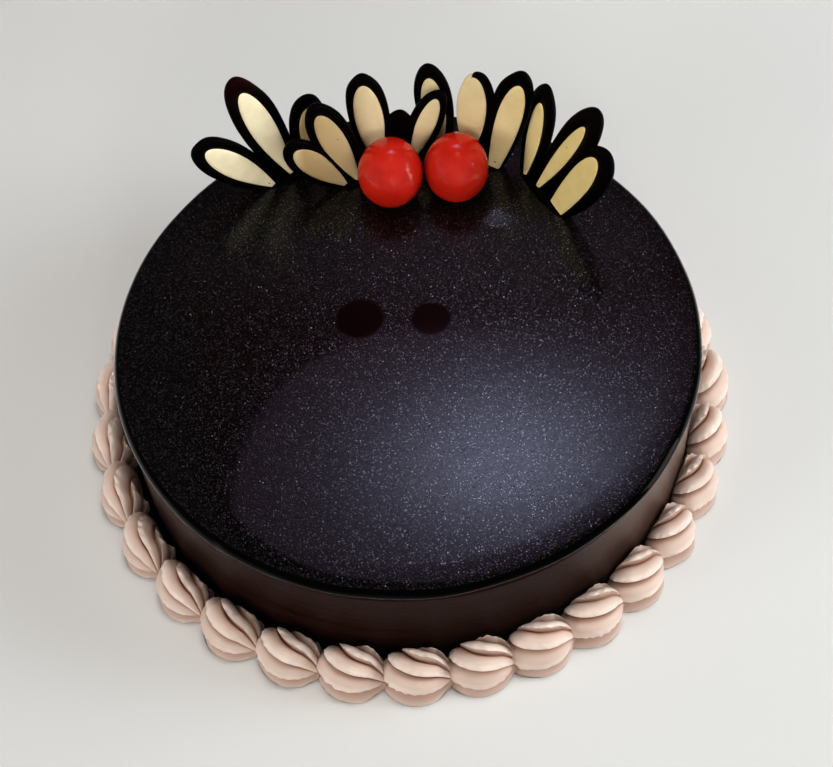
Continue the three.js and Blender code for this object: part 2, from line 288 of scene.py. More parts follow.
# Dark chocolate, with reddish painted light where the left petals are highest
DARK_BLACK = (0.0006, 0.0003, 0.0003)
DARK_PAINTED_LIGHT = (0.009, 0.0008, 0.0010)
PAINTED_LIGHT_HEIGHT_RANGE = (0.085, 0.102)
PAINTED_LIGHT_SIDE_RANGE = (-0.03, -0.05)

# White chocolate tones from left to right, each a share of the way across and a colour
FILL_TONES_LEFT = -60
FILL_TONES_RIGHT = 60
FILL_TONES_AND_SHADE = [
    (0.16, (0.93, 0.81, 0.54)),
    # Painted shade: this stop and the next darken the front-left fan's fills
    (0.25, (0.39, 0.25, 0.105)),
    (0.36, (0.50, 0.36, 0.18)),
    (0.46, (0.77, 0.62, 0.365)),
    (0.66, (0.69, 0.565, 0.315)),
    (0.84, (0.82, 0.64, 0.32)),
    (0.98, (0.80, 0.60, 0.24)),
]
FILL_CLOUD = (0.42, 0.27, 0.10)
FILL_CLOUD_SHARE = 0.22
FILL_SPECK = (0.12, 0.06, 0.025)
FILL_SPECK_SCALE = 230
FILL_SPECK_RANGE = (0.1, 0.05)
FILL_SPECK_RARITY = 0.86

# Camera: distance and height angle from the centre of the lip, then small turns of its own
IMAGE_WIDTH = 833
FOCAL_PIXELS = 1600
SENSOR_WIDTH = 36.0
CAMERA_DISTANCE = 547.23
CAMERA_ELEVATION = 54.594
CAMERA_ROLL = -5.109
CAMERA_YAW = 0.2113
CAMERA_PITCH = -1.7815
AIM_HEIGHT = 46.8
NEAR_CLIP = 10.0
FAR_CLIP = 20000.0

# Floor, a hair lower than the undersides that stand on it
FLOOR_SIZE = 4000.0
FLOOR_HEIGHT = -0.15
FLOOR_PALE = (0.60, 0.585, 0.565)
FLOOR_PALER = (0.64, 0.625, 0.605)

# Glow: a soft panel that the glaze mirrors to the camera, so its shape is given as slopes: how far sideways
# and back a mirrored sight line goes for each step up. Its left end is round and its right side fades.
GLOW_RISE = 1000.0
GLOW_CENTRE = (0.0067, 0.574)
GLOW_RADIUS = 0.1419
GLOW_EDGE = 0.003
GLOW_EDGE_GROWTH = 0.35
GLOW_LEFT = -0.163
GLOW_RIGHT = 0.434
GLOW_FRONT = 0.384
GLOW_BACK = 0.9026
GLOW_VEIL = (0.52, 0.34, 0.58)
GLOW_FADE = 0.68
GLOW_SPOT = (4.9, 5.4, 7.9)
GLOW_SPOT_PLACE = (0.063, 0.588)
GLOW_SPOT_SPREAD = (0.0588, 0.05)
GLOW_SPOT_FRONT_SPREAD = 0.0405
GLOW_HAZE = (0.26, 0.07, 0.09)
GLOW_HAZE_PLACE = (0.061, 0.784)
GLOW_HAZE_SPREAD = (0.162, 0.118)

# Sky: even light, dark on the side that the glaze mirrors to the camera
SKY_DARK_SIDE = (0.0, 0.6, 0.8)
SKY_DARK = (0.06, 0.05, 0.05)
SKY_LIGHT = (0.3, 0.3, 0.3)
SKY_EDGE_RANGE = (0.45, 0.85)

# Soft rectangular lights. A beam keeps one to an angle, and only a mirrored one shows in glossy surfaces.
SOFTBOXES = [
    dict(name="overhead", place=(110, 60, 1055), aim=(0, 0, 20), width=320, depth=300,
         glow=18.5, colour=(1.0, 0.98, 0.95)),
    dict(name="front", place=(300, -900, 560), aim=(0, 30, 60), width=700, depth=450,
         glow=1.6, colour=(1.0, 0.97, 0.92)),
    dict(name="garnish", place=(120, -1000, 430), aim=(5, 65, 75), width=300, depth=250,
         glow=35.0, colour=(1.0, 0.97, 0.92), beam=16),
    dict(name="left_fill", place=(-850, -450, 420), aim=(20, 30, 60), width=500, depth=400,
         glow=7.5, colour=(0.96, 1.0, 1.0)),
    dict(name="right_fill", place=(950, -20, 520), aim=(60, 0, 20), width=500, depth=500,
         glow=8.5, colour=(0.86, 1.0, 1.08)),
    dict(name="right_window", place=(850, -165, 210), aim=(10, 60, 65), width=250, depth=600,
         glow=6.0, colour=(1.0, 0.98, 0.96), mirrored=True),
]


# Surfaces: a skin is its corner points with its four-sided and three-sided faces

def ring_quads(rows, columns, joined=False):
    """Quads between neighbouring rows of a grid whose columns close on themselves.

    Joined closes the rows too.
    """
    row, column = np.meshgrid(np.arange(rows if joined else rows - 1), np.arange(columns), indexing="ij")
    after = (column + 1) % columns
    start = row * columns
    below = (row + 1) % rows * columns
    corners = (start + column, start + after, below + after, below + column)
    return np.stack(corners, -1).reshape(-1, 4)


def face_outwards(points, quads, triangles):
    """Turns every face over if the volume, a sum of tetrahedra from the origin, comes out negative."""
    halves = np.concatenate([triangles, quads[:, [0, 1, 2]], quads[:, [0, 2, 3]]])
    first, second, third = (points[halves[:, i]] for i in range(3))
    if np.einsum("ij,ij->i", first, np.cross(second, third)).sum() < 0:
        return points, quads[:, ::-1], triangles[:, ::-1]
    return points, quads, triangles


def capped_skin(start, rows, end):
    """A closed skin over rows of points between two poles."""
    count, columns = rows.shape[:2]
    points = np.concatenate([rows.reshape(-1, 3), [start, end]])
    column = np.arange(columns)
    after = (column + 1) % columns
    last = (count - 1) * columns
    first_cap = np.stack([np.full(columns, count * columns), after, column], -1)
    last_cap = np.stack([np.full(columns, count * columns + 1), last + column, last + after], -1)
    return face_outwards(points, ring_quads(count, columns), np.concatenate([first_cap, last_cap]))


def ring_skin(rows):
    """A closed skin over rows of points that meet each other both ways round, as a tube bent to a ring."""
    quads = ring_quads(*rows.shape[:2], joined=True)
    return face_outwards(rows.reshape(-1, 3), quads, np.empty((0, 3), int))


def turned_skin(radius, height):
    """A profile carried round the axis: radius and height are arrays of profile point by angle."""
    angle = np.linspace(0, 2 * np.pi, radius.shape[1], endpoint=False)
    rows = np.stack([radius * np.cos(angle), radius * np.sin(angle), height], -1)
    return capped_skin((0, 0, height[0].mean()), rows, (0, 0, height[-1].mean()))


def joined_skins(skins):
    """Several skins as one, with the face numbers of each moved past the points of those before it."""
    starts = np.cumsum([0] + [len(points) for points, _, _ in skins[:-1]])
    return (
        np.concatenate([points for points, _, _ in skins]),
        np.concatenate([quads + start for (_, quads, _), start in zip(skins, starts)]),
        np.concatenate([triangles + start for (_, _, triangles), start in zip(skins, starts)]),
    )


def moved_skin(skin, move):
    """The same skin with its points passed through move."""
    points, quads, triangles = skin
    return move(points), quads, triangles


def add_piece(name, skin, material, node):
    """Puts a skin into a smooth mesh that stands for a node, rides on the body and takes a slot."""
    points, quads, triangles = skin
    mesh = bpy.data.meshes.new(name)
    mesh.from_pydata((points * MM).tolist(), [], quads.tolist() + triangles.tolist())
    mesh.validate()
    mesh.shade_smooth()
    mesh.materials.append(material)
    piece = bpy.data.objects.new(name, mesh)
    bpy.context.scene.collection.objects.link(piece)
    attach(piece, BODY)
    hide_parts(node)
    return piece


# Unevenness, always from a seed

def ripple(angle, seed, orders):
    """A closed wobble of about -1 to 1: sines of each order round the circle, fainter as they get finer."""
    draw = np.random.default_rng(seed)
    order = np.arange(1, orders + 1)
    strength = draw.normal(size=orders) / np.sqrt(order) / math.sqrt(sum(1 / order))
    phase = draw.uniform(0, 2 * np.pi, orders)
    return (strength * np.sin(np.multiply.outer(angle, order) + phase)).sum(-1)


def dents(points, seed, size):
    """A smooth wobble through space of about -1 to 1: plane waves of one size in drawn directions."""
    draw = np.random.default_rng(seed)
    direction = draw.normal(size=(DENT_WAVES, 3))
    direction *= 2 * np.pi / size / np.linalg.norm(direction, axis=1, keepdims=True)
    phase = draw.uniform(0, 2 * np.pi, DENT_WAVES)
    return np.sin(points @ direction.T + phase).sum(-1) * math.sqrt(2 / DENT_WAVES)


# Cake and glaze

def glaze_skin():
    """Flat underside, rounded lip and flat top, turned. The lip and its hem wave, and one drip hangs."""
    angle = np.linspace(0, 2 * np.pi, ROUND_STEPS, endpoint=False)
    bend = np.linspace(0, np.pi / 2, LIP_STEPS)
    under = UNDERSIDE_RINGS * (LIP_RADIUS - LIP_UNDERCUT)
    lip = LIP_RADIUS - LIP_ROUND * (1 - np.cos(bend))
    top = np.linspace(lip[-1], 0, TOP_RINGS, endpoint=False)[1:]
    profile_radius = np.concatenate([under, lip, top])
    profile_height = np.concatenate([
        np.full(len(under), GLAZE_UNDERSIDE),
        TOP_HEIGHT - LIP_ROUND * (1 - np.sin(bend)),
        np.full(len(top), TOP_HEIGHT),
    ])
    at_lip = np.clip((profile_radius - (LIP_RADIUS - LIP_ROUND)) / LIP_ROUND, 0, 1)
    at_hem = at_lip * np.clip((TOP_HEIGHT - profile_height) / LIP_ROUND, 0, 1)
    from_drip = np.degrees(np.angle(np.exp(1j * (angle - math.radians(DRIP_ANGLE)))))
    drip = DRIP_LENGTH * np.exp(-((from_drip / DRIP_WIDTH) ** 2))
    hem = LIP_HEM_DROP + LIP_HEM_WAVE * ripple(angle, HEM_SEED, LIP_WAVE_ORDERS) + drip
    wave = LIP_WAVE * ripple(angle, LIP_SEED, LIP_WAVE_ORDERS)
    radius = profile_radius[:, None] + np.outer(at_lip, wave)
    height = profile_height[:, None] - np.outer(at_hem, hem)
    return turned_skin(radius, height)


def side_skin():
    """A straight wall with a faint wobble, turned, that runs out over the floor in a low foot of glaze."""
    angle = np.linspace(0, 2 * np.pi, ROUND_STEPS, endpoint=False)
    wall = SIDE_HEIGHT * np.linspace(0, 1, SIDE_RINGS) ** 2
    height = np.concatenate([[0], wall, [SIDE_HEIGHT]])
    share = np.concatenate([[SIDE_CAP_RING], np.ones(SIDE_RINGS), [SIDE_CAP_RING]])
    slow = ripple(angle, SIDE_SEED, SIDE_WAVE_ORDERS)
    drift = ripple(angle, SIDE_DRIFT_SEED, SIDE_WAVE_ORDERS)
    wobble = SIDE_WAVE * (slow + np.outer(np.sin(np.pi * height / SIDE_HEIGHT), drift)) / 2
    foot = FOOT_REACH * np.clip(1 - height / FOOT_HEIGHT, 0, 1) ** 2
    radius = share[:, None] * (SIDE_RADIUS - SIDE_WAVE + wobble + foot[:, None])
    return turned_skin(radius, np.repeat(height[:, None], ROUND_STEPS, axis=1))


# Piped border

SHELL_FULL_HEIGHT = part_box(LARGE_SHELL)[1].z / MM / LARGE_SHELL_SIZE
SWING_LENGTH = sum(SHELL_SWING_RADII) / 2 * math.radians(SHELL_SWING_ANGLE)
SWING_STOP = np.array(SHELL_PIVOT[:2]) - (0, SHELL_SWING_RADII[1])
SHELL_LENGTH = SWING_LENGTH + math.dist(SWING_STOP, SHELL_TAIL)


def shell_line(travel):
    """A quarter swing in to the pivot, then straight to the tail. Gives points and outward directions."""
    share = np.minimum(travel / SWING_LENGTH, 1)
    swing = math.radians(SHELL_SWING_ANGLE) * share
    outward = np.stack([-np.cos(swing), -np.sin(swing), np.zeros_like(swing)], -1)
    from_pivot = SHELL_SWING_RADII[0] + (SHELL_SWING_RADII[1] - SHELL_SWING_RADII[0]) * share
    point = np.array(SHELL_PIVOT) + outward * from_pivot[:, None]
    past = np.maximum(travel - SWING_LENGTH, 0) / (SHELL_LENGTH - SWING_LENGTH)
    point[:, :2] += past[:, None] * (np.array(SHELL_TAIL) - SWING_STOP)
    point[:, 2] = SHELL_HEAD_HEIGHT + (SHELL_TAIL_HEIGHT - SHELL_HEAD_HEIGHT) * travel / SHELL_LENGTH
    return point, outward


def shell_reach(travel, inner):
    """The radius along a shell: a round head, then a cosine taper outside and a blunt end inside."""
    head = np.sqrt(1 - np.clip(1 - travel / SHELL_HEAD_LENGTH, 0, 1) ** 2)
    along = np.clip((travel - SHELL_TAIL_START) / (SHELL_LENGTH - SHELL_TAIL_START), 0, 1)
    slim = np.cos(np.pi / 2 * along)
    blunt = np.sqrt(1 - along ** 4)
    share = head[:, None] * (slim[:, None] * (1 - inner) + blunt[:, None] * inner)
    tail_share = (SHELL_TAIL_RADIUS / SHELL_RADIUS * along)[:, None]
    return SHELL_RADIUS * np.maximum(share, tail_share)


def star_hollow(part):
    """Depth of a ridged section from one sharp lip to the next: a band curves in, a steep step goes out."""
    band = (part / SHELL_HOLLOW_PLACE) ** SHELL_BAND_CURVE
    step = (1 - part) / (1 - SHELL_HOLLOW_PLACE)
    return np.where(part < SHELL_HOLLOW_PLACE, band, step)


def shell_skin(size, angle, seed):
    """The ridged section carried along the piping line, then flattened on the floor and against the cake.

    Gives the skin, and for each of its points how deep in a hollow it lies.
    """
    draw = np.random.default_rng(seed)
    step = (np.arange(SHELL_ROWS) + 0.5) / SHELL_ROWS
    travel = SHELL_LENGTH * (1 - np.cos(np.pi * step)) / 2
    point, outward = shell_line(travel)
    turn = SHELL_RIDGE_TURN + SHELL_TURN_SPREAD * draw.uniform(-1, 1)
    depth = SHELL_RIDGE_DEPTH * (1 + SHELL_DEPTH_SPREAD * draw.uniform(-1, 1, SHELL_RIDGES))
    part = (1 - np.cos(np.pi * np.arange(SHELL_RIDGE_STEPS) / SHELL_RIDGE_STEPS)) / 2
    ridge = np.repeat(np.arange(SHELL_RIDGES), SHELL_RIDGE_STEPS)
    part = np.tile(part, SHELL_RIDGES)
    at_lip = np.exp(-np.minimum(part, 1 - part) / SHELL_LIP_WIDTH)
    droop = SHELL_LIP_DROOP * at_lip
    section = np.radians(turn + (ridge + part) * 360 / SHELL_RIDGES - droop)
    around = section + np.radians(SHELL_RIDGE_TWIST * travel / SHELL_LENGTH)[:, None]
    reach = shell_reach(travel, (1 - np.cos(around)) / 2) * (1 - depth[ridge] * star_hollow(part))
    flare = 1 + SHELL_FLARE * np.maximum(-np.sin(around), 0)
    sideways = (np.cos(around) * flare)[..., None] * outward[:, None, :]
    spoke = sideways + (np.sin(around) * SHELL_TALLNESS)[..., None] * np.array([0, 0, 1.0])
    rows = point[:, None, :] + reach[..., None] * spoke
    ragged = SHELL_RAGGED * at_lip * dents(rows, seed + RAGGED_SEED_STEP, SHELL_RAGGED_SIZE)
    uneven = SHELL_BUMP * dents(rows, seed, SHELL_BUMP_SIZE) + ragged
    rows += (reach * uneven)[..., None] * spoke
    ends = shell_line(np.array([0.0, SHELL_LENGTH]))[0]
    skin = capped_skin(ends[0], rows, ends[1])
    skin = moved_skin(skin, lambda points: placed_shell(points * SHELL_STRETCH * size, angle))
    return skin, np.append(np.tile(star_hollow(part), SHELL_ROWS), [SHELL_POLE_HOLLOW] * 2)


def placed_shell(points, angle):
    """Turns a shell to its place on the border, not below the floor and not inside the cake's side."""
    x, y, z = points.T
    turn = angle + math.pi / 2
    far_x = BORDER_SHIFT + SHELL_RING_RADIUS * math.cos(angle) + x * math.cos(turn) - y * math.sin(turn)
    far_y = SHELL_RING_RADIUS * math.sin(angle) + x * math.sin(turn) + y * math.cos(turn)
    from_axis = np.hypot(far_x, far_y)
    push = np.maximum(SIDE_RADIUS + GAP, from_axis) / from_axis
    return np.stack([far_x * push, far_y * push, np.maximum(z, 0)], -1)


def add_border(material):
    """The shells round the cake, spaced a little unevenly. Each carries how deep its hollows are."""
    for index in range(SHELL_COUNT):
        node = f"cream_shell_{index + 1:02d}"
        even = SHELL_FIRST_ANGLE + 360 / SHELL_COUNT * index
        swing = math.cos(SHELL_SPACING_WAVES * math.radians(even - SHELL_FIRST_ANGLE))
        angle = math.radians(even + SHELL_SPACING_SWING * swing)
        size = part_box(node)[1].z / MM / SHELL_FULL_HEIGHT
        skin, hollow = shell_skin(size, angle, SHELL_SEED + index)
        shell = add_piece(f"piped_shell_{index + 1:02d}", skin, material, node)
        shell.data.attributes.new("hollow", "FLOAT", "POINT").data.foreach_set("value", hollow)


# Cherries

def ball_rows(rows, columns):
    """Unit directions on a grid from pole to pole along y, without the poles."""
    fall = np.linspace(0, np.pi, rows + 2)[1:-1, None]
    around = np.linspace(0, 2 * np.pi, columns, endpoint=False)[None, :]
    return np.stack([
        np.sin(fall) * np.cos(around),
        np.cos(fall) + 0 * around,
        np.sin(fall) * np.sin(around),
    ], -1)


def cherry_skin(node, radius, half_length, seed):
    """A longish ball with soft dents, its long axis leaning back, at the centre of the node's box."""
    low, high = (np.array(corner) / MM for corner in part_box(node))
    way = ball_rows(CHERRY_ROWS, CHERRY_COLUMNS)
    rows = way * (1 + CHERRY_DENT * dents(way, seed, CHERRY_DENT_SIZE))[..., None]
    skin = capped_skin((0, 1, 0), rows, (0, -1, 0))
    lean = math.radians(CHERRY_LEAN)
    tilt = np.array([[1, 0, 0], [0, math.sin(lean), math.cos(lean)], [0, -math.cos(lean), math.sin(lean)]])
    scale = np.array([radius, half_length, radius])
    return moved_skin(skin, lambda points: (points * scale) @ tilt + (low + high) / 2)


def add_cherries(material):
    """The two cherries, each with dents of its own."""
    for seed, (node, (radius, half_length)) in enumerate(CHERRIES.items(), CHERRY_SEED):
        add_piece(f"glossy_{node}", cherry_skin(node, radius, half_length, seed), material, node)


# Petals

def petal_share(along, foot_share):
    """Half-width share: it widens in a sine from the foot to the widest place, then closes in an ellipse."""
    rising = foot_share + (1 - foot_share) * np.sin(np.pi / 2 * np.clip(along / PETAL_WIDEST, 0, 1))
    closing = np.sqrt(np.clip(1 - (np.clip(along - PETAL_WIDEST, 0, 1) / (1 - PETAL_WIDEST)) ** 2, 0, 1))
    return np.where(along < PETAL_WIDEST, rising, closing)


def petal_outline(start, end, width, foot_share, shift=0.0):
    """Points up the right side to the tip and down the left side, with closer steps towards the tip."""
    half = np.linspace(0, 1, PETAL_STEPS)
    closing = PETAL_WIDEST + (1 - PETAL_WIDEST) * np.sin(np.pi / 2 * np.clip(2 * half - 1, 0, 1))
    along = np.where(half < 0.5, PETAL_WIDEST * 2 * half, closing)
    along = np.concatenate([along, along[-2::-1]])
    side = np.where(np.arange(2 * PETAL_STEPS - 1) < PETAL_STEPS, 1, -1)
    across = side * width / 2 * petal_share(along, foot_share)
    return np.stack([across + shift, start + (end - start) * along], -1), along


def turned_petal(points, sizes):
    """Leans a petal's flat points to the right by its turn and sets them on its foot."""
    turn = math.radians(sizes["turn"])
    x, y, z = points[..., 0], points[..., 1], points[..., 2]
    return np.stack([
        x * math.cos(turn) + y * math.sin(turn) + sizes["foot"],
        y * math.cos(turn) - x * math.sin(turn),
        z,
    ], -1)


def plate_rows(outer, inner, layers):
    """Rows of a plate's skin. A layer is a share of the way from outer to inner, an inset and a height."""
    way = inner - outer
    reach = np.maximum(np.linalg.norm(way, axis=1, keepdims=True), SHORTEST_WAY)
    rows = []
    for share, inset, height in layers:
        flat = outer + way * share + way / reach * np.minimum(inset, EDGE_LIMIT * reach)
        rows.append(np.column_stack([flat, np.full(len(flat), height)]))
    return np.array(rows)


def edge_layers(radius, middle):
    """Layers of a half-round edge, from the front face over to the back face."""
    bend = np.linspace(np.pi / 2, -np.pi / 2, EDGE_STEPS)
    return [(0, radius * (1 - math.cos(angle)), middle + radius * math.sin(angle)) for angle in bend]


def spine_of(outline, along, start, end, shift=0.0):
    """The line up the middle of an outline, a little short of both ends, point for point with it."""
    share = SPINE_MARGIN + (1 - 2 * SPINE_MARGIN) * along
    return np.stack([np.full(len(outline), shift), start + (end - start) * share], -1)


def frame_skin(sizes, seed):
    """The dark rim of a petal: a crowned band with a half-round edge between the outline and the fill."""
    outline, along = petal_outline(0, sizes["length"], sizes["width"], PETAL_FOOT_SHARE)
    round_angle = np.linspace(0, 2 * np.pi, len(outline), endpoint=False)
    wave = FRAME_WAVE / sizes["width"] * ripple(round_angle, seed, FRAME_WAVE_ORDERS)
    outline = outline * (1 + wave)[:, None]
    front = [(1, 0, 0), (FRAME_CROWN_PLACE, 0, FRAME_CROWN)]
    back = [(FRAME_CROWN_PLACE, 0, -PLATE_THICKNESS), (1, 0, -PLATE_THICKNESS)]
    layers = front + edge_layers(PLATE_THICKNESS / 2, -PLATE_THICKNESS / 2) + back
    if sizes["fill_width"]:
        inner = fill_outline(sizes)[0]
        limit = sizes["width"] / 2 * petal_share(inner[:, 1] / sizes["length"], PETAL_FOOT_SHARE) - GAP
        inner[:, 0] = np.clip(inner[:, 0], -limit, limit)
        skin = ring_skin(plate_rows(outline, inner, layers))
    else:
        inner = spine_of(outline, along, 0, sizes["length"])
        skin = open_plate_skin(plate_rows(outline, inner, layers))
    return moved_skin(skin, lambda points: turned_petal(points, sizes))


def fill_outline(sizes):
    """The outline of a petal's white fill, with how far along it each point is."""
    end = sizes["length"] - sizes["tip_border"]
    width, foot_share, shift = (sizes[name] for name in ("fill_width", "fill_foot_share", "fill_shift"))
    return petal_outline(sizes["fill_foot"], end, width, foot_share, shift)


def fill_skin(sizes):
    """A fill stands a hair proud of its rim on both faces, gently domed, with a small rounded edge."""
    outline, along = fill_outline(sizes)
    end = sizes["length"] - sizes["tip_border"]
    inner = spine_of(outline, along, sizes["fill_foot"], end, sizes["fill_shift"])
    front = FILL_PROUD
    back = -PLATE_THICKNESS - FILL_PROUD
    domes = [(share, FILL_DOME * share * (2 - share)) for share in FILL_DOME_STEPS]
    layers = [(share, 0, front + rise) for share, rise in domes]
    layers += [(0, FILL_EDGE, front), (0, 0, front - FILL_EDGE)]
    layers += [(0, 0, back + FILL_EDGE), (0, FILL_EDGE, back)]
    layers += [(share, 0, back - rise) for share, rise in reversed(domes)]
    skin = open_plate_skin(plate_rows(outline, inner, layers))
    return moved_skin(skin, lambda points: turned_petal(points, sizes))


def open_plate_skin(rows):
    """Rows that start and end on a spine. Both sides of a spine have the same points, which are made one."""
    points = rows.reshape(-1, 3)
    rounded = points.round(SAME_POINT_DIGITS)
    _, first, same = np.unique(rounded, axis=0, return_index=True, return_inverse=True)
    quads = same.reshape(-1)[ring_quads(*rows.shape[:2])]
    return face_outwards(points[first], quads, np.empty((0, 3), int))


def dab_skin(petals, seed):
    """A low uneven mound, a little longer than the row of feet that stands in it."""
    feet = [sizes["foot"] for sizes in petals]
    first = min(feet) - DAB_MARGIN
    last = max(feet) + DAB_MARGIN
    way = ball_rows(DAB_ROWS, DAB_COLUMNS)
    rows = way * (1 + DAB_DENT * dents(way, seed, DAB_DENT_SIZE))[..., None]
    scale = np.array([(last - first) / 2, DAB_HEIGHT, DAB_HALF_WIDTH])
    centre = np.array([(first + last) / 2, 0, -PLATE_THICKNESS / 2])
    return moved_skin(capped_skin((0, 1, 0), rows, (0, -1, 0)), lambda points: points * scale + centre)


def on_glaze(points, fan):
    """Stands a fan's flat points up on the glaze: leant back, turned by yaw, and cut off at the glaze."""
    lean = math.radians(fan["lean"])
    yaw = math.radians(fan["yaw"])
    x, y, z = points.T
    back = y * math.sin(lean) - z * math.cos(lean)
    rise = y * math.cos(lean) + z * math.sin(lean)
    return np.stack([
        fan["base"][0] + x * math.cos(yaw) - back * math.sin(yaw),
        fan["base"][1] + x * math.sin(yaw) + back * math.cos(yaw),
        TOP_HEIGHT + np.maximum(rise, GAP),
    ], -1)


def add_petals(dark, white):
    """Each fan's rims and dab as one dark piece, and its white fills as pieces of their own."""
    for order, (name, fan) in enumerate(FANS.items()):
        seed = PETAL_SEED + FAN_SEED_STEP * order
        skins = [frame_skin(sizes, seed + index) for index, sizes in enumerate(fan["petals"])]
        skins.append(dab_skin(fan["petals"], seed + DAB_SEED_STEP))
        rims = moved_skin(joined_skins(skins), lambda points: on_glaze(points, fan))
        add_piece(f"petal_rims_{name}", rims, dark, f"petal_fan_{name}")
        filled = [sizes for sizes in fan["petals"] if sizes["fill_width"]]
        for index, sizes in enumerate(filled, 1):
            fill = moved_skin(fill_skin(sizes), lambda points: on_glaze(points, fan))
            node = f"petal_fill_{name}_{index}"
            add_piece(f"white_fill_{name}_{index}", fill, white, node)


# Finishes

class Field:
    """A shader socket that takes part in Python expressions: each operator adds one Math node."""

    def __init__(self, tree, socket=None):
        self.tree = tree
        self.socket = socket

    def node(self, kind, settings=None, inputs=None, output=0):
        """Adds a node: its settings first, then the values or links of its sockets. Gives one output."""
        made = self.tree.nodes.new(kind)
        for key, value in (settings or {}).items():
            if key == "stops":
                set_stops(made.color_ramp, value)
            else:
                setattr(made, key, value)
        for key, value in (inputs or {}).items():
            feed(self.tree, made.inputs[key], value)
        return Field(self.tree, made.outputs[output])

    def math(self, operation, *values):
        return self.node("ShaderNodeMath", {"operation": operation}, dict(enumerate(values)))

    def vector(self, operation, *values, output=0):
        return self.node("ShaderNodeVectorMath", {"operation": operation}, dict(enumerate(values)), output)

    def times(self, vector):
        """A vector or a colour multiplied by this field."""
        return self.node("ShaderNodeVectorMath", {"operation": "SCALE"}, {0: vector, "Scale": self})

    def mix(self, first, second):
        """A colour that goes from first to second as this field goes from 0 to 1."""
        return self.node("ShaderNodeMix", {"data_type": "RGBA"}, {0: self, 6: first, 7: second}, 2)

    def smooth(self, low, high):
        """0 below low, 1 above high and a smooth step between, or the other way round if low is larger."""
        settings = {"interpolation_type": "SMOOTHSTEP"}
        return self.node("ShaderNodeMapRange", settings, {"Value": self, "From Min": low, "From Max": high})

    def noise(self, scale, detail=3.0, roughness=0.5):
        inputs = {"Vector": self, "Scale": scale, "Detail": detail, "Roughness": roughness}
        return self.node("ShaderNodeTexNoise", None, inputs, "Fac")

    def cells(self, scale, output="Distance"):
        return self.node("ShaderNodeTexVoronoi", None, {"Vector": self, "Scale": scale}, output)

    def stretched(self, scale):
        return self.node("ShaderNodeMapping", None, {"Vector": self, "Scale": scale})

    def part(self, name):
        return self.node("ShaderNodeSeparateXYZ", None, {0: self}, name)

    def __add__(self, other):
        return self.math("ADD", self, other)

    def __mul__(self, other):
        return self.math("MULTIPLY", self, other)

    def __sub__(self, other):
        return self.math("SUBTRACT", self, other)

    def __rsub__(self, other):
        return self.math("SUBTRACT", other, self)

    def __pow__(self, other):
        return self.math("POWER", self, other)

    def __gt__(self, other):
        return self.math("GREATER_THAN", self, other)

    __radd__ = __add__
    __rmul__ = __mul__


def set_stops(ramp, stops):
    """Gives a colour ramp these stops, each a place and a colour."""
    while len(ramp.elements) < len(stops):
        ramp.elements.new(0.5)
    for element, (place, colour) in zip(ramp.elements, stops):
        element.position = place
        element.color = (*colour, 1.0)


def feed(tree, socket, value):
    """Links a field to a socket, or sets the socket's own value."""
    if isinstance(value, Field):
        tree.links.new(value.socket, socket)
    elif socket.type == "RGBA":
        socket.default_value = (*value, 1.0)
    else:
        socket.default_value = value


def new_finish(name):
    """A material with its shader, and the object's own coordinates, in metres, to build on."""
    material = bpy.data.materials.new(name)
    material.use_nodes = True
    tree = material.node_tree
    place = Field(tree).node("ShaderNodeTexCoord", output="Object")
    return material, tree.nodes["Principled BSDF"], place


def apply_finish(material, shader, values):
    """Feeds the shader's sockets by their names."""
    for name, value in values.items():
        feed(material.node_tree, shader.inputs[name], value)
    return material


def bump(height, strength, distance, normal=None):
    """A normal that follows a height field, which is distance deep, over the surface or a given normal."""
    inputs = {"Height": height, "Strength": strength, "Distance": distance}
    if normal:
        inputs["Normal"] = normal
    return height.node("ShaderNodeBump", None, inputs)


def near_spot(place, spot, radius, core):
    """1 within a share, core, of a spot's radius on the glaze, and a smooth step down to 0 at the radius."""
    centre = (spot[0] * MM, spot[1] * MM, TOP_HEIGHT * MM)
    distance = place.vector("DISTANCE", place, centre, output="Value")
    return distance.smooth(radius * MM, radius * core * MM)


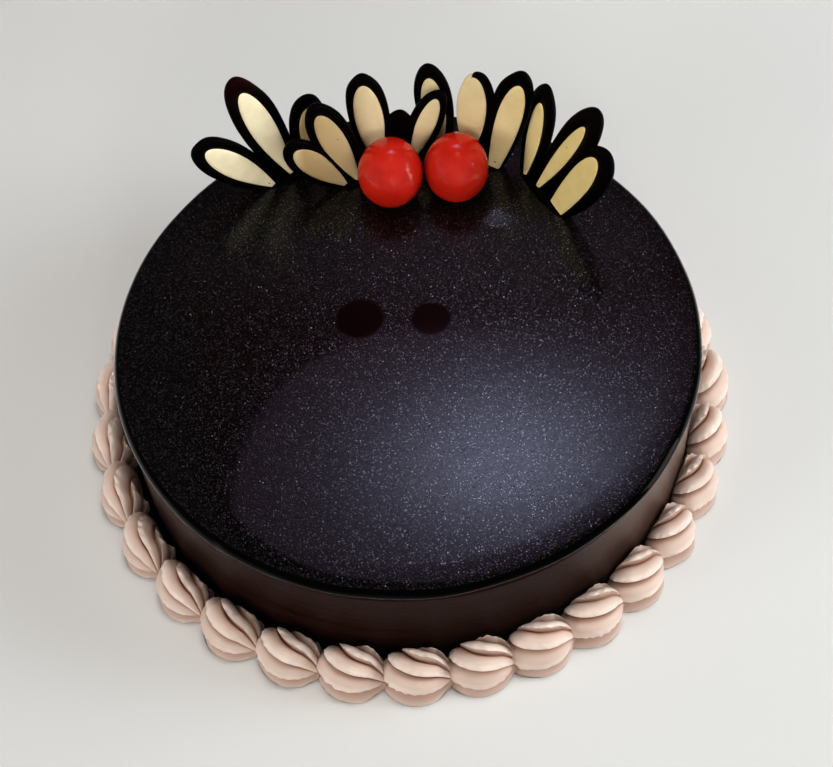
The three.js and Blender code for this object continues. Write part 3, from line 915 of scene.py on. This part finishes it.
def glaze_finish():
    """A near-black mirror glaze with fine flakes, and two dull syrup spots.

    A flake fills the middle of a cell of level glaze. Its shine and its tilt are drawn for its cell.
    """
    material, shader, place = new_finish("mirror_glaze")
    tint = place.cells(FLAKE_SCALE, "Color")
    inside = place.cells(FLAKE_SCALE).smooth(*FLAKE_EDGE_RANGE)
    spots = sum(near_spot(place, spot, radius, SYRUP_CORE) for spot, radius in SYRUP_SPOTS)
    facing = place.node("ShaderNodeNewGeometry", output="Normal")
    level = facing.part("Z").smooth(*LEVEL_RANGE)
    flakes = (tint.part("X") > 1 - FLAKE_SHARE) * inside * level * (1 - spots)
    flake_colour = (tint.part("Y") ** FLAKE_SHINE_POWER).mix(FLAKE_DIM, FLAKE_BRIGHT)
    glitter = flakes.mix(GLAZE_BLACK, flake_colour)
    drawn = tint.node("ShaderNodeTexWhiteNoise", {"noise_dimensions": "3D"}, {"Vector": tint}, "Color")
    tilt = flakes * (FLAKE_TILT + FLAKE_TILT_SPREAD * tint.part("Z") ** FLAKE_TILT_POWER)
    lean = tilt.times(drawn.vector("SUBTRACT", drawn, FLAKE_MIDDLE_DRAW))
    normal = facing.vector("NORMALIZE", facing.vector("ADD", facing, lean))
    towards_back = place.part("Y").smooth(*BACK_RANGE)
    dull = level.math("MAXIMUM", (1 - level) * LIP_DULLNESS, spots * SYRUP_DULLNESS)
    relief = place.noise(scale=30, detail=1.0) * GLAZE_WAVE + spots * SYRUP_THICKNESS
    for spot, radius, height in GLAZE_SWELLS:
        relief = relief + near_spot(place, spot, radius, 0.0) * height
    roughness = GLAZE_ROUGHNESS + flakes * FLAKE_ROUGHNESS
    return apply_finish(material, shader, {
        "Base Color": spots.mix(glitter, SYRUP_BLACK),
        "Metallic": dull.math("MAXIMUM", flakes, dull),
        "Roughness": roughness + (1 - flakes) * towards_back * BACK_ROUGHNESS,
        "Specular IOR Level": 0.2,
        "Normal": bump(relief, strength=1.0, distance=MM, normal=normal),
    })


def side_finish():
    """Brown ganache drawn round with a spatula: faint level streaks, more satin and painted light at the
    right.
    """
    material, shader, place = new_finish("ganache_side")
    across = place.part("X")
    streaks = place.stretched(STREAK_STRETCH).noise(scale=1.0, detail=5.0, roughness=0.6)
    mark = streaks.smooth(0.3, 0.75)
    cloud = place.noise(scale=30, detail=2.0).smooth(0.35, 0.7)
    brown = cloud.mix(mark.mix(SIDE_BROWN, SIDE_STREAK), SIDE_CLOUD)
    # Painted light: a lighter, rosier brown towards the right
    colour = across.smooth(*SIDE_PAINTED_LIGHT_RANGE).mix(brown, SIDE_PAINTED_LIGHT)
    # Near black towards the floor: the glaze foot's own colour, and painted shade on the wall above it
    above_foot_and_shade = place.part("Z").smooth(*SIDE_FOOT_AND_SHADE_RANGE)
    satin = across.smooth(*SATIN_RIGHT_RANGE) * SATIN_RIGHT + across.smooth(*SATIN_LEFT_RANGE) * SATIN_LEFT
    return apply_finish(material, shader, {
        "Base Color": above_foot_and_shade.mix(SIDE_FOOT_AND_SHADE, colour),
        "Coat Weight": satin * (0.7 + mark * 0.3),
        "Coat Roughness": 0.3,
        "Coat Tint": (1.0, 0.86, 0.78),
        "Roughness": 0.3 + mark * 0.15,
        "Specular IOR Level": 0.03,
        "Sheen Weight": 0.02,
        "Sheen Roughness": 0.3,
        "Sheen Tint": (1.0, 0.8, 0.7),
        "Normal": bump(streaks, strength=0.35, distance=0.0006),
    })


def cream_finish():
    """Whipped cream, soft sheen, small air pits; painted highlight on lips, redder painted shade below them.
    """
    material, shader, place = new_finish("piped_cream")
    patches = place.noise(scale=90).smooth(0.3, 0.7)
    airy = place.noise(scale=260, detail=1.0) > CREAM_PIT_RARITY
    pits = place.cells(CREAM_PIT_SCALE).smooth(*CREAM_PIT_RANGE) * airy
    hollow = place.node("ShaderNodeAttribute", {"attribute_name": "hollow"}, output="Fac")
    # Painted highlight on the lips and painted shade in the hollows, by how deep in a hollow each point lies
    tone = hollow.node("ShaderNodeValToRGB", {"stops": CREAM_HIGHLIGHT_AND_SHADE_TONES}, {0: hollow})
    height = place.part("Z")
    # Painted shade on the foot, strongest just under the lowest lip and fading towards the floor
    shade_below_lip = CREAM_FOOT_SHADE_AT_FLOOR + CREAM_FOOT_SHADE_RISE * height.smooth(*CREAM_FOOT_SHADE_RISE_RANGE)
    foot = height.smooth(*CREAM_FOOT_SHADE_TOP_RANGE) * shade_below_lip
    grain = place.noise(scale=1500)
    return apply_finish(material, shader, {
        "Base Color": (patches * CREAM_PATCH_SHARE).mix(foot.mix(tone, CREAM_FOOT_SHADE), CREAM_PATCH),
        "Roughness": 0.42 + patches * 0.1,
        "Specular IOR Level": 0.3,
        "Normal": bump(grain * 0.25 - pits, strength=0.3, distance=0.0006),
    })


def cherry_finish():
    """A candied red skin: uneven red with a wet gloss and fine pocks, and a little light that passes in."""
    material, shader, place = new_finish("candied_red")
    mottle = place.noise(scale=160)
    pocks = place.noise(scale=900, detail=2.0)
    return apply_finish(material, shader, {
        "Base Color": mottle.smooth(0.3, 0.75).mix(CHERRY_DEEP, CHERRY_BRIGHT),
        "Roughness": 0.11 + mottle * 0.06,
        "Specular IOR Level": 0.34,
        "Subsurface Weight": 0.1,
        "Subsurface Radius": (0.004, 0.0008, 0.0004),
        "Subsurface Scale": 1.0,
        "Normal": bump(pocks, strength=0.15, distance=0.0005),
    })


def dark_finish():
    """Dark chocolate: near black and dull, with reddish painted light on the highest tips on the left."""
    material, shader, place = new_finish("dark_chocolate")
    cloud = place.noise(scale=110)
    high = place.part("Z").smooth(*PAINTED_LIGHT_HEIGHT_RANGE)
    # Painted light: a reddish brown on the highest tips of the left petals
    painted_light_tips = high * place.part("X").smooth(*PAINTED_LIGHT_SIDE_RANGE) * cloud.smooth(0.35, 0.6)
    return apply_finish(material, shader, {
        "Base Color": painted_light_tips.mix(DARK_BLACK, DARK_PAINTED_LIGHT),
        "Roughness": 0.45 + cloud * 0.15,
        "Specular IOR Level": 0.04,
        "Normal": bump(place.noise(scale=420, detail=4.0), strength=0.3, distance=0.0006),
    })


def white_finish():
    """White chocolate, softly clouded: ivory at the left, then painted shade, then warmer cream to the right.
    """
    material, shader, place = new_finish("white_chocolate")
    across = place.node("ShaderNodeMapRange", None, {
        "Value": place.part("X"), "From Min": FILL_TONES_LEFT * MM, "From Max": FILL_TONES_RIGHT * MM,
    })
    # The darker stops in the middle-left are painted shade on the front-left fan's fills
    tone = across.node("ShaderNodeValToRGB", {"stops": FILL_TONES_AND_SHADE}, {0: across})
    cloud = place.noise(scale=130, detail=4.0)
    body = (cloud.smooth(0.25, 0.75) * FILL_CLOUD_SHARE).mix(tone, FILL_CLOUD)
    rare = place.cells(FILL_SPECK_SCALE, "Color").part("X") > FILL_SPECK_RARITY
    specks = place.cells(FILL_SPECK_SCALE).smooth(*FILL_SPECK_RANGE) * rare
    return apply_finish(material, shader, {
        "Base Color": specks.mix(body, FILL_SPECK),
        "Roughness": 0.4 + cloud * 0.15,
        "Specular IOR Level": 0.35,
        "Normal": bump(place.noise(scale=500), strength=0.15, distance=0.0005),
    })


# Stage

def camera_axes():
    """The camera's place, and its right, up and forward directions."""
    angles = (CAMERA_ELEVATION, CAMERA_ROLL, CAMERA_YAW, CAMERA_PITCH)
    elevation, roll, yaw, pitch = map(math.radians, angles)
    back = Vector((0, -math.cos(elevation), math.sin(elevation)))
    right = Vector((1, 0, 0))
    up = right.cross(-back)
    turned_forward = -back * math.cos(yaw) + right * math.sin(yaw)
    turned_right = right * math.cos(yaw) + back * math.sin(yaw)
    forward = turned_forward * math.cos(pitch) + up * math.sin(pitch)
    raised = up * math.cos(pitch) - turned_forward * math.sin(pitch)
    rolled_right = turned_right * math.cos(roll) + raised * math.sin(roll)
    rolled_up = raised * math.cos(roll) - turned_right * math.sin(roll)
    place = back * CAMERA_DISTANCE + Vector((0, 0, AIM_HEIGHT))
    return place, rolled_right, rolled_up, forward


def add_camera():
    """The camera, with its focal length given in pixels of the image's width."""
    place, right, up, forward = camera_axes()
    data = bpy.data.cameras.new("camera")
    data.sensor_fit = "HORIZONTAL"
    data.sensor_width = SENSOR_WIDTH
    data.lens = SENSOR_WIDTH * FOCAL_PIXELS / IMAGE_WIDTH
    data.clip_start = NEAR_CLIP * MM
    data.clip_end = FAR_CLIP * MM
    camera = bpy.data.objects.new("camera", data)
    axes = Matrix((right, up, -forward)).transposed()
    camera.matrix_world = Matrix.Translation(place * MM) @ axes.to_4x4()
    bpy.context.scene.collection.objects.link(camera)
    bpy.context.scene.camera = camera


def flat_sheet(name, corners, height, material):
    """A level four-sided sheet. It faces up where its corners run anticlockwise, seen from above."""
    points = np.column_stack([corners, np.full(len(corners), height)]) * MM
    mesh = bpy.data.meshes.new(name)
    mesh.from_pydata(points.tolist(), [], [(0, 1, 2, 3)])
    mesh.materials.append(material)
    sheet = bpy.data.objects.new(name, mesh)
    bpy.context.scene.collection.objects.link(sheet)
    return sheet


def add_floor():
    """A pale plain floor."""
    material, shader, place = new_finish("pale_floor")
    cloud = place.noise(scale=4, detail=2.0)
    apply_finish(material, shader, {"Base Color": cloud.mix(FLOOR_PALE, FLOOR_PALER), "Roughness": 0.7})
    corners = np.array([(-1, -1), (1, -1), (1, 1), (-1, 1)]) * FLOOR_SIZE / 2
    floor = flat_sheet("floor", corners, FLOOR_HEIGHT, material)


def add_softbox(name, place, aim, width, depth, glow, colour, beam=180, mirrored=False):
    """A soft rectangular light as bright as glow says, aimed at a point and kept to a beam angle."""
    half_beam = math.radians(beam) / 2
    data = bpy.data.lights.new(name, "AREA")
    data.shape = "RECTANGLE"
    data.size = width * MM
    data.size_y = depth * MM
    data.energy = glow * math.pi * data.size * data.size_y * (1 - half_beam / math.tan(half_beam))
    data.color = colour
    data.spread = 2 * half_beam
    light = bpy.data.objects.new(name, data)
    light.location = Vector(place) * MM
    light.rotation_mode = "QUATERNION"
    light.rotation_quaternion = (Vector(aim) - Vector(place)).to_track_quat("-Z", "Y")
    light.visible_glossy = mirrored
    bpy.context.scene.collection.objects.link(light)


def add_glow():
    """The soft panel that shows in the glaze: a flat sheet, facing down, that only mirrors show."""
    camera = camera_axes()[0]
    run = camera.z - TOP_HEIGHT + GLOW_RISE
    slopes = np.array([
        (GLOW_LEFT, GLOW_BACK), (GLOW_RIGHT, GLOW_BACK), (GLOW_RIGHT, GLOW_FRONT), (GLOW_LEFT, GLOW_FRONT),
    ])
    corners = slopes * run + (camera.x, camera.y)
    panel = flat_sheet("glow_panel", corners, TOP_HEIGHT + GLOW_RISE, glow_finish(camera, run))
    panel.visible_camera = False
    panel.visible_diffuse = False


def glow_finish(camera, run):
    """Three lights on one sheet: a veil with a crisp round left end, a bright spot and a warm haze behind."""
    material, shader, place = new_finish("glow")
    slope_x = (place.part("X") - camera.x * MM) * (1 / (run * MM))
    slope_y = (place.part("Y") - camera.y * MM) * (1 / (run * MM))
    left_x = slope_x.math("MINIMUM", slope_x - GLOW_CENTRE[0], 0.0)
    right_x = slope_x.math("MAXIMUM", slope_x - GLOW_CENTRE[0], 0.0)
    off_y = slope_y - GLOW_CENTRE[1]
    from_end = slope_x.math("SQRT", left_x * left_x + off_y * off_y)
    edge = right_x * GLOW_EDGE_GROWTH + GLOW_EDGE
    shape = from_end.smooth(edge + GLOW_RADIUS, GLOW_RADIUS - edge)
    fade = slope_x.smooth(GLOW_FADE, GLOW_CENTRE[0])
    spot_y = slope_y - GLOW_SPOT_PLACE[1]
    nearer = slope_y.math("MINIMUM", spot_y, 0.0) * (GLOW_SPOT_SPREAD[1] / GLOW_SPOT_FRONT_SPREAD)
    spot_y = slope_y.math("MAXIMUM", spot_y, 0.0) + nearer
    spot = round_spot(slope_x, spot_y, (GLOW_SPOT_PLACE[0], 0.0), GLOW_SPOT_SPREAD) * shape
    haze = round_spot(slope_x, slope_y, GLOW_HAZE_PLACE, GLOW_HAZE_SPREAD)
    light = (shape * fade).times(GLOW_VEIL)
    light = light.vector("ADD", light, spot.times(GLOW_SPOT))
    light = light.vector("ADD", light, haze.times(GLOW_HAZE))
    return apply_finish(material, shader, {
        "Base Color": (0.0, 0.0, 0.0),
        "Specular IOR Level": 0.0,
        "Emission Color": light,
        "Emission Strength": 1.0,
    })


def round_spot(x, y, place, spread):
    """A bell over x and y: 1 at its place, falling off with its spread each way."""
    across = (x - place[0]) * (1 / spread[0])
    along = (y - place[1]) * (1 / spread[1])
    fall = (across * across + along * along) * -0.5
    return fall.math("EXPONENT", fall)


def add_sky():
    """A soft even sky with its dark side."""
    world = bpy.data.worlds.new("studio")
    world.use_nodes = True
    bpy.context.scene.world = world
    tree = world.node_tree
    way = Field(tree).node("ShaderNodeTexCoord", output="Generated")
    near = way.vector("DOT_PRODUCT", way, SKY_DARK_SIDE, output="Value")
    colour = near.smooth(*SKY_EDGE_RANGE).mix(SKY_LIGHT, SKY_DARK)
    feed(tree, tree.nodes["Background"].inputs["Color"], colour)


def add_lights():
    """The sky, the glow and the soft lights."""
    add_sky()
    add_glow()
    for box in SOFTBOXES:
        add_softbox(**box)


bpy.context.scene.view_settings.view_transform = "Standard"
add_camera()
add_floor()
add_lights()
add_piece("ganache_side", side_skin(), side_finish(), "cake_body")
add_piece("mirror_glaze", glaze_skin(), glaze_finish(), "truffle_glaze")
add_border(cream_finish())
add_cherries(cherry_finish())
add_petals(dark_finish(), white_finish())
